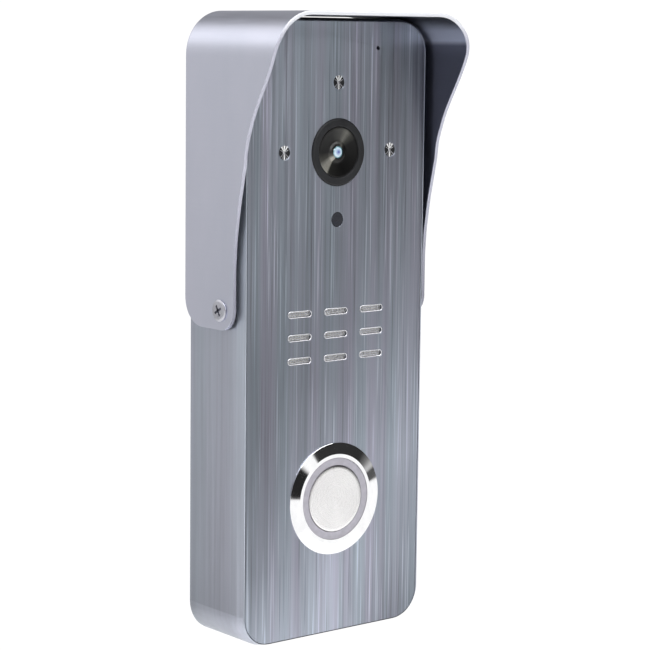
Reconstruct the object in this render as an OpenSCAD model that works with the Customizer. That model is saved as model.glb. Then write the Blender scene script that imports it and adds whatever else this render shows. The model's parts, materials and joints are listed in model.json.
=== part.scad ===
// Outdoor door station: a metal call panel with a camera, infra-red lamps, a loudspeaker,
// a microphone and one lit push button, under a sheet-metal rain hood, on a wall bracket.
// X is to the right, Y goes into the wall and Z is up. The wall is the plane Y = 0 and the
// origin is midway between the bracket's two wall screws.

/* [Housing] */
// Width of the cast housing
body_w = 45.8; // [44:0.2:48]
// Height of the cast housing
body_h = 122.9; // [122:0.1:124]
// Depth from the wall to the face of the front plate
body_d = 17.3; // [17:0.1:19]
// Corner radius of the housing
body_r = 6.8; // [6.6:0.1:7]
// Depth of the tapered band round the front edge
band_d = 2; // [1:0.5:3]
// How far the tapered band leans in
band_in = 0.5; // [0.3:0.1:0.6]

/* [Front plate] */
// Width of the front plate
plate_w = 44; // [43:0.1:44.2]
// Height of the front plate
plate_h = 121.6; // [120:0.1:121.6]
// Thickness of the front plate
plate_t = 1.5; // [1.2:0.1:1.6]
// Corner radius of the front plate
plate_r = 5.8; // [5.5:0.1:6]

/* [Camera and lamps] */
// Height of the camera axis
lens_z = 35.4; // [34:0.1:36]
// Radius of the lens bezel
lens_r = 6.6; // [6:0.1:7]
// Height of the upper lamp
lamp_top_z = 49; // [48:0.1:50]
// Sideways distance of the outer lamps
lamp_x = 13.3; // [12.5:0.1:14]
// Radius of a lamp
lamp_r = 1.5; // [1.5:0.1:1.8]
// Height of the daylight sensor
sensor_z = 22.2; // [21:0.1:23]

/* [Sound] */
// Height of the middle row of speaker slots
slot_z = -0.6; // [-2:0.1:2]
// Length of one speaker slot
slot_l = 5.7; // [4:0.1:7]
// Height of one speaker slot
slot_h = 1.2; // [0.8:0.1:1.6]
// Distance between slot columns
slot_dx = 9.1; // [8:0.1:10]
// Distance between slot rows
slot_dz = 4.6; // [4:0.1:5]
// Sideways place of the microphone hole
mic_x = 9.9; // [8:0.1:11]
// Height of the microphone hole
mic_z = 55.7; // [55:0.1:55.8]

/* [Push button] */
// Height of the button axis
button_z = -33.7; // [-36:0.1:-32]
// Outer radius of the button bezel
bezel_r = 11.3; // [11:0.1:11.5]
// How far the bezel stands out
bezel_out = 0.5; // [0.4:0.1:1]
// Travel of the button
travel = 0.8; // [0.5:0.1:1]

/* [Rain hood] */
// Outer width of the hood
hood_w = 48.9; // [48.7:0.1:50]
// Sheet thickness of the hood
hood_t = 0.8; // [0.8:0.1:1]
// Height of the hood's outer top face
hood_top = 62.6; // [62.6:0.1:63]
// Outer bend radius of the hood
hood_r = 8.6; // [8.4:0.1:9]
// Height of the bottom end of the hood's legs
leg_z = 1.5; // [0:0.1:2]
// How far the top of the hood reaches past the front plate
overhang = 11.5; // [8:0.1:14]

/* [Wall bracket] */
// Distance between the two wall screws
wall_screw_dz = 84; // [80:1:90]
// Radius of the wall screw holes
wall_hole_r = 2.1; // [2:0.1:2.5]
// Radius of the cable passage through the grommet
cable_r = 3; // [2:0.1:3.2]

/* [Hidden] */
$fn = 64;

eps = 0.01;
front_y = -body_d;                          // face of the front plate
plate_back = front_y + plate_t;             // rear of the front plate
gasket_t = 0.5;
ledge_y = plate_back + gasket_t;            // ledge that the plate is sealed against
seam = 0.15;                                // gap round the front plate
pocket_w = plate_w + 2 * seam;
pocket_h = plate_h + 2 * seam;
cavity_w = 40.4;
cavity_r = 4.6;
cavity_top = 55.6;
cavity_bottom = -53;
cavity_h = cavity_top - cavity_bottom;
cavity_z = (cavity_top + cavity_bottom) / 2;
cover_y = -3;                               // front face of the rear cover
cover_t = 1.5;
cover_rim = 1.4;                            // how far the cover overlaps the housing
recess_w = 43.4;                            // rear recess that hides the bracket
recess_h = 118.4;
recess_r = 5;
recess_y = -1.6;
cover_w = cavity_w + 2 * cover_rim - 0.3;
cover_h = cavity_h + 2 * cover_rim - 0.3;
cover_screw_x = 18.2;
cover_screw_z = [-50.4, 1, 52.4];
screw_room_r = 4.6;                         // room for a wall screw's head
seal_t = 0.6;
grommet_z = 8;
grommet_r = 5;
bracket_t = 1.2;
bracket_w = 36;
bracket_top = 55.4;
bracket_bottom = -58.2;
hook_w = 20;                                // hook at the top of the bracket
tab_w = 24;                                 // tab at its foot, which the lock screw goes through
lock_y = -5;                                // axis of the lock screw

leg_in = 1.3;                               // the legs' front edges stand back by this
kink_z = 14;                                // above this the front edges lean forward
rise_z = 35.5;                              // above this they curve out to the overhang
rise_h = 24;                                // height of that curve
lean_end = 2.55;                            // reach of the leaning edge before it curves out
leg_edge = [[kink_z, -leg_in], [19, -0.95], [25.5, 0.05], [33.5, 1.84], [40, lean_end]];
leg_r = 4;
heel_r = 5.5;
pivot_y = front_y + 5.5;                    // side screws that hold the hood
pivot_z = 5.3;
hood_rear = -0.2;
hood_screw_r = 1.25;
hood_gap = hood_w / 2 - hood_t - body_w / 2;
head_gap = 0.03;                            // running gap under the screw heads

speaker_r = 14;
slot_step = 0.2;                            // width and depth of the step round each slot
mesh_w = 25;                                // woven mesh in a pocket behind the slots
mesh_h = 13.5;
mesh_r = 1.5;
mesh_t = 0.25;
mesh_y = front_y + 0.6;
barrel_r = 9.4;                             // threaded barrel of the push button
bore_r = 8.3;
ring_r = 6.85;                              // inside of the lit ring
cap_r = 6.65;
cap_y = front_y - bezel_out + 0.05;
lip_r = 9.1;                                // flat lip between the bezel's slope and the lit ring
groove_r = 10.5;                            // groove under the bezel for its seal
groove_w = 0.7;
groove_t = 0.15;
barrel_end = -8.6;
stem_end = -9.4;                            // the cap's stem ends on the contact
contact_y = stem_end + 0.6;
board_y = -8.4;                             // front face of the main board
board_t = 1;
boss_x = 17.3;
boss_z = [-46, 15];
lamp_boss_z = 48;
boss_r = 2.4;
thread_r = 0.85;
lamp_board_y = -12.5;                       // front face of the lamp board
lamp_board_t = 0.9;
lamp_base_y = -12.9;                        // rear of the lamps' bodies
camera_board_y = -8.2;                      // front face of the camera board
spacers = [for (x = [-1, 1], z = [32.6, 50.4]) [x * 13.2, z]];
lamp_places = [[0, lamp_top_z], [-lamp_x, lens_z + 0.2], [lamp_x, lens_z + 0.2]];

// ---- helpers: everything faces along Y ----

module rounded(w, h, r) {
    square([w - 2 * r, h], center = true);
    square([w, h - 2 * r], center = true);
    for (x = [-1, 1], y = [-1, 1])
        translate([x * (w / 2 - r), y * (h / 2 - r)]) circle(r);
}

// Flat outline in X and Z, thick from y0 back to y1
module along_y(y0, y1) {
    translate([0, y1, 0]) rotate([90, 0, 0]) linear_extrude(y1 - y0) children();
}

module slab(w, h, r, y0, y1, z = 0, x = 0) {
    translate([x, 0, z]) along_y(y0, y1) rounded(w, h, r);
}

module disc(r, y0, y1, x = 0, z = 0) {
    translate([x, y1, z]) rotate([90, 0, 0]) cylinder(r = r, h = y1 - y0);
}

// Cone along Y with radius r0 at y0 and r1 at y1
module cone(r0, r1, y0, y1, x = 0, z = 0) {
    translate([x, y1, z]) rotate([90, 0, 0]) cylinder(r1 = r1, r2 = r0, h = y1 - y0);
}

module ring(ro, ri, y0, y1, x = 0, z = 0) {
    difference() {
        disc(ro, y0, y1, x, z);
        disc(ri, y0 - 1, y1 + 1, x, z);
    }
}

// Profile in radius and depth, turned round an axis along Y
module turned(x = 0, z = 0) {
    translate([x, 0, z]) rotate([-90, 0, 0]) rotate_extrude() children();
}

// Rounded block that widens by lean from y0 to y1
module tapered_slab(w, h, r, lean, y0, y1) {
    for (x = [-1, 1], z = [-1, 1])
        cone(r, r + lean, y0, y1, x * (w / 2 - r), z * (h / 2 - r));
    translate([0, 0, -(h / 2 - r)]) linear_extrude(h - 2 * r)
        polygon([[-w / 2, y0], [w / 2, y0], [w / 2 + lean, y1], [-w / 2 - lean, y1]]);
    translate([-(w / 2 - r), 0, 0]) rotate([90, 0, 90]) linear_extrude(w - 2 * r)
        polygon([[y0, -h / 2], [y0, h / 2], [y1, h / 2 + lean], [y1, -h / 2 - lean]]);
}

// ---- housing and front plate ----

// Round boss joined to the side wall
module wall_boss(side, x, z, y0, y1) {
    disc(boss_r, y0, y1, side * x, z);
    join = cavity_w / 2 + 0.4;
    translate([side > 0 ? x : -join, y0, z - boss_r])
        cube([join - x, y1 - y0, 2 * boss_r]);
}

module housing_bosses() {
    for (side = [-1, 1]) {
        for (z = boss_z) wall_boss(side, boss_x, z, ledge_y, board_y);
        wall_boss(side, boss_x, lamp_boss_z, ledge_y, lamp_board_y);
        for (z = cover_screw_z) wall_boss(side, cover_screw_x, z, cover_y - 4, cover_y);
    }
}

module boss_holes() {
    for (side = [-1, 1]) {
        for (z = boss_z) disc(thread_r, ledge_y + 1, board_y + 1, side * boss_x, z);
        disc(thread_r, ledge_y + 0.5, lamp_board_y + 1, side * boss_x, lamp_boss_z);
        for (z = cover_screw_z)
            disc(thread_r, cover_y - 3.4, cover_y + 1, side * cover_screw_x, z);
    }
}

// Room in the housing for the bracket's hook and tab
module bracket_slots() {
    translate([-tab_w / 2 - 1, -9, bracket_bottom - 0.6]) cube([tab_w + 2, 10, 3.6]);
    translate([-hook_w / 2 - 1, -4.4, bracket_top + 1.8]) {
        cube([hook_w + 2, 2.2, 3.2]);
        cube([hook_w + 2, 5, 2]);
    }
}

module housing() {
    color([0.62, 0.64, 0.68]) difference() {
        union() {
            difference() {
                union() {
                    tapered_slab(body_w - 2 * band_in, body_h - 2 * band_in, body_r - band_in,
                                 band_in, front_y, front_y + band_d);
                    slab(body_w, body_h, body_r, front_y + band_d, 0);
                }
                slab(pocket_w, pocket_h, plate_r + seam, front_y - 1, ledge_y);
                slab(cavity_w, cavity_h, cavity_r, ledge_y - 1, cover_y + 1, cavity_z);
                slab(cavity_w + 2 * cover_rim, cavity_h + 2 * cover_rim, cavity_r + cover_rim,
                     cover_y, 1, cavity_z);
                slab(recess_w, recess_h, recess_r, recess_y, 1);
                disc(2.3, ledge_y - 1, -12.8, mic_x, mic_z - 0.1);
                bracket_slots();
            }
            housing_bosses();
        }
        boss_holes();
        seal_ring(cover_y - seal_t, cover_y + 1);
        for (x = [-1, 1])
            translate([x * (body_w / 2 - 3), pivot_y, pivot_z]) rotate([0, 90, 0])
                cylinder(r = hood_screw_r, h = 6.4, center = true);
        translate([0, lock_y, -body_h / 2 - 1]) {
            cylinder(r = 1.6, h = 4);
            cylinder(r = 3, h = 2);
        }
    }
}

module speaker_slots(extra = 0) {
    for (i = [-1, 0, 1], j = [-1, 0, 1])
        slab(slot_l + 2 * extra, slot_h + 2 * extra, slot_h / 2 + extra - eps,
             front_y - 1, extra > 0 ? front_y + extra : plate_back + 1,
             slot_z + j * slot_dz, i * slot_dx);
}

module front_plate() {
    color([0.55, 0.58, 0.62]) difference() {
        slab(plate_w, plate_h, plate_r, front_y, plate_back);
        disc(lens_r + 0.05, front_y - 1, plate_back + 1, 0, lens_z);
        at_lamps() disc(lamp_r + 0.05, front_y - 1, plate_back + 1);
        disc(1.5, front_y - 1, plate_back + 1, 0, sensor_z);
        disc(0.4, front_y - 1, plate_back + 1, mic_x, mic_z);
        disc(barrel_r + 0.1, front_y - 1, plate_back + 1, 0, button_z);
        speaker_slots();
        speaker_slots(slot_step);
        slab(mesh_w + 0.2, mesh_h + 0.2, mesh_r + 0.1, mesh_y, plate_back + 1, slot_z);
    }
}

module plate_gasket() {
    color([0.15, 0.15, 0.16]) difference() {
        slab(plate_w - 0.6, plate_h - 0.6, plate_r - 0.3, plate_back, ledge_y);
        slab(cavity_w, cavity_h, cavity_r, plate_back - 1, ledge_y + 1, cavity_z);
        disc(2.2, plate_back - 1, ledge_y + 1, mic_x, mic_z);
    }
}

// ---- rain hood ----

// How far the hood's edge stands in front of the plate at height z
function reach(z) = lookup(z, leg_edge) + (overhang - lean_end) * (1 - cos(180 * rise(z))) / 2;
function rise(z) = min(1, max(0, (z - rise_z) / rise_h));

module hood_side() {
    steps = 36;
    leg_y = front_y + leg_in;
    translate([leg_y + leg_r, leg_z + leg_r]) circle(leg_r);
    translate([hood_rear - heel_r, leg_z + heel_r]) circle(heel_r);
    polygon(concat(
        [[leg_y, leg_z + leg_r], [leg_y + leg_r, leg_z], [hood_rear - heel_r, leg_z],
         [hood_rear, leg_z + heel_r], [hood_rear, hood_top + 1]],
        [for (i = [steps:-1:0]) let (z = kink_z + (hood_top + 1 - kink_z) * i / steps)
            [front_y - reach(z), z]]));
}

module hood_shell() {
    inner_w = hood_w - 2 * hood_t;
    long = 200;
    along_y(front_y - 20, 5) difference() {
        translate([0, hood_top - long / 2]) rounded(hood_w, long, hood_r);
        translate([0, hood_top - hood_t - long / 2]) rounded(inner_w, long, hood_r - hood_t);
        translate([-hood_w / 2 - 1, -long]) square([hood_w + 2, long]);
    }
}

module rain_hood() {
    color([0.75, 0.76, 0.8]) difference() {
        intersection() {
            hood_shell();
            translate([-hood_w, 0, 0]) rotate([90, 0, 90]) linear_extrude(2 * hood_w) hood_side();
        }
        translate([-hood_w, pivot_y, pivot_z]) rotate([0, 90, 0])
            cylinder(r = hood_screw_r + 0.05, h = 2 * hood_w);
    }
}

module hood_screw_pair() {
    for (s = [-1, 1])
        translate([s * (hood_w / 2 + head_gap), pivot_y, pivot_z])
            rotate([0, s * 90, 0]) children();
}

module hood_screws() {
    head_r = 2.1;
    head_h = 1.1;
    shank = 5.2;
    color([0.8, 0.8, 0.82]) hood_screw_pair() difference() {
        union() {
            cylinder(r = head_r, h = head_h * 0.45);
            translate([0, 0, head_h * 0.45])
                cylinder(r1 = head_r, r2 = head_r * 0.72, h = head_h * 0.55);
            translate([0, 0, -shank]) cylinder(r = hood_screw_r - 0.02, h = shank);
        }
        for (a = [0, 90]) rotate([0, 0, a])
            translate([-1.15, -0.25, head_h - 0.7]) cube([2.3, 0.5, 1]);
    }
}

module hood_washers() {
    color([0.12, 0.12, 0.13]) hood_screw_pair()
        translate([0, 0, -hood_t - hood_gap - head_gap]) difference() {
            cylinder(r = 2.6, h = hood_gap - head_gap);
            translate([0, 0, -1]) cylinder(r = hood_screw_r, h = hood_gap + 2);
        }
}

// ---- camera ----

module lens_bezel() {
    color([0.2, 0.21, 0.22]) turned(0, lens_z)
        polygon([[4.9, front_y - 0.1], [5.1, front_y - 0.3], [lens_r - 0.3, front_y - 0.3],
                 [lens_r, front_y], [lens_r, plate_back], [8, plate_back], [8, ledge_y + 0.5],
                 [4.9, ledge_y + 0.5]]);
}

module lens_baffle() {
    color([0.05, 0.05, 0.05]) turned(0, lens_z)
        polygon([[1.6, front_y + 0.35], [4.88, front_y - 0.1], [4.88, front_y + 2.6],
                 [1.6, front_y + 2.6]]);
}

module lens_glass() {
    dome_r = 2.4;
    color([0.25, 0.3, 0.45, 0.8]) intersection() {
        translate([0, front_y - 0.15 + dome_r, lens_z]) sphere(dome_r);
        disc(1.58, front_y - 1, front_y + 2.6, 0, lens_z);
    }
}

module lens_barrel() {
    color([0.08, 0.08, 0.09]) difference() {
        disc(4.88, front_y + 2.6, -9.6, 0, lens_z);
        disc(1.6, front_y + 3.6, -9, 0, lens_z);
    }
}

module lens_holder() {
    color([0.1, 0.1, 0.11]) difference() {
        union() {
            disc(6.2, ledge_y + 0.7, -8.6, 0, lens_z);
            slab(14, 14, 1, camera_board_y - 2.4, camera_board_y, lens_z);
        }
        disc(4.9, ledge_y - 1, -9.6, 0, lens_z);
        slab(9, 9, 0.5, -9.7, -8, lens_z);
    }
}

module image_sensor() {
    color([0.1, 0.2, 0.25]) slab(6.4, 5.4, 0.2, camera_board_y - 1.1, camera_board_y, lens_z);
}

module camera_board() {
    color([0.05, 0.25, 0.15]) difference() {
        slab(30, 25, 1, camera_board_y, camera_board_y + 1, 40.3);
        for (p = spacers) disc(0.9, -9, -7, p[0], p[1]);
    }
}

module board_spacers() {
    color([0.8, 0.7, 0.4]) for (p = spacers) {
        disc(1.6, lamp_board_y + lamp_board_t, camera_board_y, p[0], p[1]);
        disc(0.85, camera_board_y - eps, camera_board_y + 1 + eps, p[0], p[1]);
        disc(1.5, camera_board_y + 1, camera_board_y + 1.8, p[0], p[1]);
    }
}

// ---- infra-red lamps, daylight sensor and microphone ----

module at_lamps() {
    for (p = lamp_places) translate([p[0], 0, p[1]]) children();
}

module ir_leds() {
    color([0.7, 0.72, 0.75, 0.8]) at_lamps() {
        difference() {
            union() {
                disc(lamp_r, front_y + 0.03, lamp_base_y);
                disc(lamp_r + 0.25, lamp_base_y - 1, lamp_base_y);
            }
            cone(lamp_r - 0.1, lamp_r - 0.4, front_y + 0.03 - eps, front_y + 0.35);
        }
        for (x = [-1, 1]) disc(0.25, lamp_base_y - eps, -11, x * 0.9);
    }
}

module ir_holders() {
    color([0.08, 0.08, 0.09]) at_lamps() ring(lamp_r + 0.9, lamp_r + 0.28, plate_back, -12.6);
}

module ir_board() {
    color([0.05, 0.2, 0.3]) difference() {
        slab(38, 22, 1, lamp_board_y, lamp_board_y + lamp_board_t, 41.8);
        disc(7, -13, -11, 0, lens_z);
        slab(14, 20, 1, -13, -11, lens_z - 10);
        for (x = [-1, 1]) disc(1.1, -13, -11, x * boss_x, lamp_boss_z);
        at_lamps() for (x = [-1, 1]) disc(0.3, -13, -11, x * 0.9);
    }
}

module light_sensor_window() {
    color([0.1, 0.1, 0.12]) disc(1.5, front_y + 0.1, plate_back, 0, sensor_z);
}

module light_sensor() {
    color([0.75, 0.6, 0.35]) {
        disc(2.2, plate_back + 0.02, -13.6, 0, sensor_z);
        for (x = [-1, 1]) disc(0.25, -13.6 - eps, board_y, x * 1.2, sensor_z);
    }
}

module microphone_boot() {
    color([0.12, 0.12, 0.13]) difference() {
        disc(2.2, plate_back, -13.2, mic_x, mic_z - 0.1);
        disc(0.5, plate_back - 1, -14, mic_x, mic_z);
        disc(1.7, -15, -13, mic_x, mic_z - 0.1);
    }
}

module microphone() {
    color([0.8, 0.8, 0.8]) disc(1.7, -14.98, -13.5, mic_x, mic_z - 0.1);
}

// ---- loudspeaker ----

module speaker_mesh() {
    wire = 0.35;
    pitch = 0.9;
    cols = floor((mesh_w - 2) / pitch / 2);
    color([0.35, 0.36, 0.38]) difference() {
        slab(mesh_w, mesh_h, mesh_r, mesh_y, mesh_y + mesh_t, slot_z);
        for (i = [-cols:cols])
            slab(pitch - wire, mesh_h - 2, 0.2, mesh_y - 1, mesh_y + 1, slot_z, i * pitch);
    }
}

module speaker_gasket() {
    color([0.13, 0.13, 0.14])
        ring(speaker_r, speaker_r - 1.2, plate_back, ledge_y + 0.1, 0, slot_z);
}

module speaker_frame() {
    color([0.3, 0.3, 0.32]) turned(0, slot_z)
        polygon([[speaker_r - 1.2, ledge_y + 0.1], [speaker_r, ledge_y + 0.1],
                 [speaker_r, ledge_y + 1.3], [speaker_r - 1, ledge_y + 1.3], [9, -11],
                 [7.5, -11], [7.5, -11.8], [8.6, -11.8], [speaker_r - 2, ledge_y + 1]]);
}

module speaker_cone() {
    color([0.1, 0.1, 0.1]) turned(0, slot_z)
        polygon([[speaker_r - 1.8, ledge_y + 0.2], [speaker_r - 1.8, ledge_y + 0.4],
                 [3.2, -13], [0, -13.6], [0, -13.9], [3.4, -13.3]]);
}

module speaker_magnet() {
    color([0.6, 0.6, 0.62]) difference() {
        disc(7.4, -12.2, -8.7, 0, slot_z);
        disc(3.4, -13, -10, 0, slot_z);
    }
}

// ---- push button ----

module button_bezel() {
    top = front_y - bezel_out;
    color([0.85, 0.85, 0.87]) turned(0, button_z)
        polygon([[bore_r, top], [lip_r, top], [bezel_r, front_y - 0.2], [bezel_r, front_y],
                 [groove_r, front_y], [groove_r, front_y - groove_t],
                 [groove_r - groove_w, front_y - groove_t], [groove_r - groove_w, front_y],
                 [barrel_r, front_y], [barrel_r, barrel_end], [bore_r, barrel_end]]);
}

module button_o_ring() {
    color([0.1, 0.1, 0.1])
        ring(groove_r - 0.05, groove_r - groove_w + 0.05, front_y - groove_t, front_y, 0, button_z);
}

module button_light_ring() {
    color([0.8, 0.8, 0.9, 0.8])
        ring(bore_r - eps, ring_r, front_y - bezel_out + 0.08, front_y + 3, 0, button_z);
}

module button_nut() {
    color([0.75, 0.72, 0.6]) translate([0, 0, button_z]) difference() {
        translate([0, plate_back + 2.2, 0]) rotate([90, 0, 0]) cylinder(r = 12, h = 2.2, $fn = 6);
        disc(barrel_r, plate_back - 1, plate_back + 4);
    }
}

module button_cap() {
    color([0.9, 0.9, 0.92]) turned(0, button_z)
        polygon([[0, cap_y], [cap_r - 0.2, cap_y], [cap_r, cap_y + 0.2], [cap_r, cap_y + 2.3],
                 [cap_r - 1, cap_y + 2.3], [cap_r - 1, cap_y + 1.4], [1.5, cap_y + 1.4],
                 [1.5, stem_end], [0, stem_end]]);
}

module button_contact() {
    color([0.85, 0.7, 0.35]) disc(2.6, stem_end, contact_y, 0, button_z);
}

module button_spring() {
    color([0.7, 0.7, 0.72]) ring(2.4, 1.8, cap_y + 1.4, front_y + 4.4, 0, button_z);
}

module button_switch_body() {
    color([0.1, 0.1, 0.11]) difference() {
        disc(bore_r - eps, front_y + 3, -5.4, 0, button_z);
        disc(1.56, front_y + 2, -5, 0, button_z);
        disc(5.8, front_y + 2, front_y + 4.4, 0, button_z);
        disc(3, -12, contact_y + travel + 1, 0, button_z);
        disc(1.6, -8, -4, 0, button_z);
    }
}

module button_terminals() {
    color([0.85, 0.75, 0.4]) for (x = [-6, -4, 4, 6])
        translate([x - 0.4, -6.4, button_z - 1]) cube([0.8, 2.8, 2]);
}

// ---- main board ----

module main_board() {
    low = -51;
    high = 26;
    color([0.05, 0.3, 0.15]) difference() {
        slab(38.4, high - low, 2, board_y, board_y + board_t, (high + low) / 2);
        disc(barrel_r + 0.6, board_y - 1, board_y + 2, 0, button_z);
        disc(7.8, board_y - 1, board_y + 2, 0, slot_z);
        for (x = [-1, 1], z = boss_z) disc(1.1, board_y - 1, board_y + 2, x * boss_x, z);
    }
}

module board_chips() {
    color([0.08, 0.08, 0.09]) for (p = [[-12, -18, 8], [11, -18, 6], [-13.4, 8.6, 5]])
        translate([p[0] - p[2] / 2, board_y + board_t, p[1] - p[2] / 2]) cube([p[2], 1.2, p[2]]);
}

module board_capacitors() {
    color([0.2, 0.2, 0.3]) for (p = [[15.4, -26], [15.4, -33], [-15.4, -28]])
        disc(2.2, board_y - 5, board_y, p[0], p[1]);
}

module cable_connector() {
    color([0.9, 0.88, 0.8]) difference() {
        translate([-6, board_y + board_t, 14.6]) cube([12, 3.6, 5.4]);
        translate([-5, board_y + board_t + 0.8, 15.6]) cube([10, 2, 8]);
    }
}

// Pan-head screw along Y with its head on the face at y
module board_screw(x, y, z, length) {
    disc(thread_r - 0.01, y - length, y + eps, x, z);
    disc(1.7, y, y + 1, x, z);
}

module board_screws() {
    color([0.7, 0.7, 0.72]) for (x = [-boss_x, boss_x]) {
        for (z = boss_z) board_screw(x, board_y + board_t, z, 5);
        board_screw(x, lamp_board_y + lamp_board_t, lamp_boss_z, 3);
    }
}

// ---- rear cover and wall bracket ----

module seal_ring(y0, y1) {
    difference() {
        slab(cavity_w + 2, cavity_h + 2, cavity_r + 1, y0, y1, cavity_z);
        slab(cavity_w + 1, cavity_h + 1, cavity_r + 0.5, y0 - 1, y1 + 1, cavity_z);
    }
}

module rear_cover() {
    back = cover_y + cover_t;
    color([0.2, 0.2, 0.21]) difference() {
        union() {
            slab(cover_w, cover_h, cavity_r + cover_rim - 0.15, cover_y, back, cavity_z);
            for (z = [-1, 1])
                disc(screw_room_r + 0.8, cover_y - 2, cover_y + eps, 0, z * wall_screw_dz / 2);
        }
        for (z = [-1, 1]) disc(screw_room_r, cover_y - 1.2, 0, 0, z * wall_screw_dz / 2);
        disc(grommet_r, cover_y - 1, 0, 0, grommet_z);
        for (x = [-1, 1], z = cover_screw_z) {
            disc(0.95, cover_y - 1, 0, x * cover_screw_x, z);
            cone(0.9, 1.95, back - 1.05, back + eps, x * cover_screw_x, z);
        }
    }
}

module rear_seal() {
    color([0.1, 0.1, 0.1]) seal_ring(cover_y - seal_t, cover_y);
}

module rear_cover_screws() {
    back = cover_y + cover_t;
    color([0.75, 0.75, 0.78]) for (x = [-1, 1], z = cover_screw_z) difference() {
        union() {
            disc(thread_r - 0.01, cover_y - 3.2, back - 0.3, x * cover_screw_x, z);
            cone(thread_r - 0.01, 1.88, back - 1.05, back - 0.02, x * cover_screw_x, z);
        }
        for (a = [0, 90]) translate([x * cover_screw_x, back, z]) rotate([0, a, 0])
            cube([2, 1, 0.4], center = true);
    }
}

module cable_grommet() {
    color([0.12, 0.12, 0.13]) difference() {
        union() {
            disc(grommet_r, cover_y - 1.2, cover_y + cover_t, 0, grommet_z);
            disc(grommet_r + 1, cover_y - 1.2, cover_y, 0, grommet_z);
            disc(grommet_r + 0.8, cover_y + cover_t, cover_y + cover_t + 1.3, 0, grommet_z);
        }
        disc(cable_r, cover_y - 2, 0, 0, grommet_z);
    }
}

module wall_bracket() {
    plate_high = bracket_top - bracket_bottom;
    color([0.7, 0.71, 0.73]) difference() {
        union() {
            slab(bracket_w, plate_high, 3, -bracket_t, 0, (bracket_top + bracket_bottom) / 2);
            translate([-hook_w / 2, -bracket_t, bracket_top - 1]) cube([hook_w, bracket_t, 4.4]);
            translate([-hook_w / 2, -4.2, bracket_top + 2]) {
                cube([hook_w, 4.2, 1.4]);
                cube([hook_w, 1.2, 2.8]);
            }
            translate([-tab_w / 2, -8.4, bracket_bottom]) cube([tab_w, 8.4, 1.6]);
        }
        for (z = [-1, 1]) disc(wall_hole_r, -3, 1, 0, z * wall_screw_dz / 2);
        disc(grommet_r + 1.5, -3, 1, 0, grommet_z);
        translate([0, lock_y, bracket_bottom - 1]) cylinder(r = 1.35, h = 4);
    }
}

module lock_screw() {
    color([0.75, 0.75, 0.78]) translate([0, lock_y, -body_h / 2]) difference() {
        union() {
            cylinder(r = 2.8, h = 0.95);
            cylinder(r = 1.33, h = 6);
        }
        translate([0, 0, -1]) cylinder(r = 1.1, h = 1.6, $fn = 6);
    }
}

housing();
front_plate();
plate_gasket();
rain_hood();
hood_screws();
hood_washers();
lens_bezel();
lens_baffle();
lens_glass();
lens_barrel();
lens_holder();
image_sensor();
camera_board();
board_spacers();
ir_leds();
ir_holders();
ir_board();
light_sensor_window();
light_sensor();
microphone();
microphone_boot();
speaker_mesh();
speaker_gasket();
speaker_frame();
speaker_cone();
speaker_magnet();
button_bezel();
button_o_ring();
button_light_ring();
button_nut();
button_cap();
button_contact();
button_spring();
button_switch_body();
button_terminals();
main_board();
board_chips();
board_capacitors();
cable_connector();
board_screws();
rear_cover();
rear_seal();
rear_cover_screws();
cable_grommet();
wall_bracket();
lock_screw();
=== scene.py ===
import json
import math

import bmesh
import bpy
from mathutils import Matrix, Vector

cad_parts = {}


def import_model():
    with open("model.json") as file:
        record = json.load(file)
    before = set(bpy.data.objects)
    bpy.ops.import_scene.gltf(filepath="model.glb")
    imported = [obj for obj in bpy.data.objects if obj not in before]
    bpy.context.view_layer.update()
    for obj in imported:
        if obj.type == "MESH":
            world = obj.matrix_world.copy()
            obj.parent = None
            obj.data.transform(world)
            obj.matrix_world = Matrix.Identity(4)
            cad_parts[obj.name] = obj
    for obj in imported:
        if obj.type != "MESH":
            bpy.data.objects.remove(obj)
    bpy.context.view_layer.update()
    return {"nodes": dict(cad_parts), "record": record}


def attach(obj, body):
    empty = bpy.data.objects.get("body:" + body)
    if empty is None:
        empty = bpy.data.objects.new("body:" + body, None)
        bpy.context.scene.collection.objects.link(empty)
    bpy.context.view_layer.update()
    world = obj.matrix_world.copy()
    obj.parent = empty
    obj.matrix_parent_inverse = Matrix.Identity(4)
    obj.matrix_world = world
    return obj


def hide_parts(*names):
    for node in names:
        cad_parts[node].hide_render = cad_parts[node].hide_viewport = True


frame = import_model()

NODES = frame["nodes"]
RECORD = frame["record"]
MM = 0.001

# Places on the station, in millimetres, as in the CAD
FRONT = -17.3
PLATE_BACK = -15.8
LENS_Z = 35.4
LAMPS = [(0, 49), (-13.3, 35.6), (13.3, 35.6)]
SLOT_Z = -0.6
BUTTON_Z = -33.7
HOOD_HALF = 24.45
PIVOT_Y = -11.8
PIVOT_Z = 5.3


# ---- node materials ----

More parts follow.
